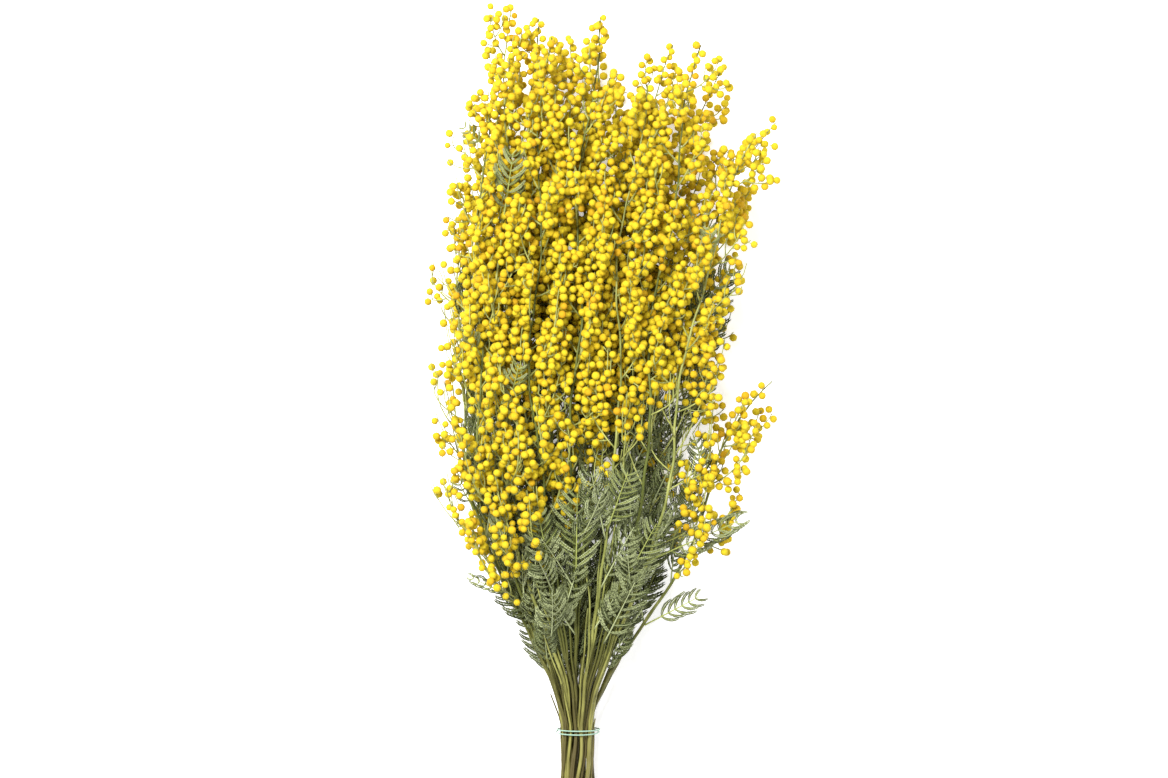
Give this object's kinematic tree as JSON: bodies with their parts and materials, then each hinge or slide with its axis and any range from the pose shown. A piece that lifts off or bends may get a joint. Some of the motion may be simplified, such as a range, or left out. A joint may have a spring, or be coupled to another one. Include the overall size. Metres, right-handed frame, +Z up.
{
  "type": "tied mimosa bunch",
  "caption": "Tied bunch of cut mimosa: bare green stems in an elastic band, fanning out into sprays of round yellow flower heads with feathery leaves.",
  "frame": {"origin": "on the surface under the middle of the bunch's bounding box, as it lies on its back", "axes": "+Y from the cut stem ends to the flowering tips, +Z up out of the surface, +X to the right when seen from above with the tips away from the viewer"},
  "size_m": [0.3091, 0.7437, 0.1442],
  "materials": {
    "stem_green": "matt green bark",
    "leaf_green": "matt, downy",
    "head_yellow": "matt, fluffy",
    "band_green": "smooth, slightly glossy"
  },
  "bodies": {
    "root": {"stem_01": "stem_green", "spray_01": "head_yellow", "stem_02": "stem_green", "spray_02": "head_yellow", "stem_03": "stem_green", "spray_03": "head_yellow", "stem_04": "stem_green", "spray_04": "head_yellow", "stem_05": "stem_green", "spray_05": "head_yellow", "stem_06": "stem_green", "spray_06": "head_yellow", "stem_07": "stem_green", "spray_07": "head_yellow", "stem_08": "stem_green", "spray_08": "head_yellow", "stem_09": "stem_green", "spray_09": "head_yellow", "stem_10": "stem_green", "spray_10": "head_yellow", "stem_11": "stem_green", "spray_11": "head_yellow", "stem_12": "stem_green", "spray_12": "head_yellow", "stem_13": "stem_green", "spray_13": "head_yellow", "stem_14": "stem_green", "spray_14": "head_yellow", "stem_15": "stem_green", "spray_15": "head_yellow", "stem_16": "stem_green", "spray_16": "head_yellow", "stem_17": "stem_green", "spray_17": "head_yellow", "stem_18": "stem_green", "spray_18": "head_yellow", "stem_19": "stem_green", "spray_19": "head_yellow", "stem_20": "stem_green", "spray_20": "head_yellow", "stem_21": "stem_green", "spray_21": "head_yellow", "stem_22": "stem_green", "spray_22": "head_yellow", "stem_23": "stem_green", "spray_23": "head_yellow", "leaf_01": "leaf_green", "leaf_02": "leaf_green", "leaf_03": "leaf_green", "leaf_04": "leaf_green", "leaf_05": "leaf_green", "leaf_06": "leaf_green", "leaf_07": "leaf_green", "leaf_08": "leaf_green", "leaf_09": "leaf_green", "leaf_10": "leaf_green", "leaf_11": "leaf_green", "leaf_12": "leaf_green", "leaf_13": "leaf_green", "elastic_band": "band_green"}
  },
  "joints": []
}
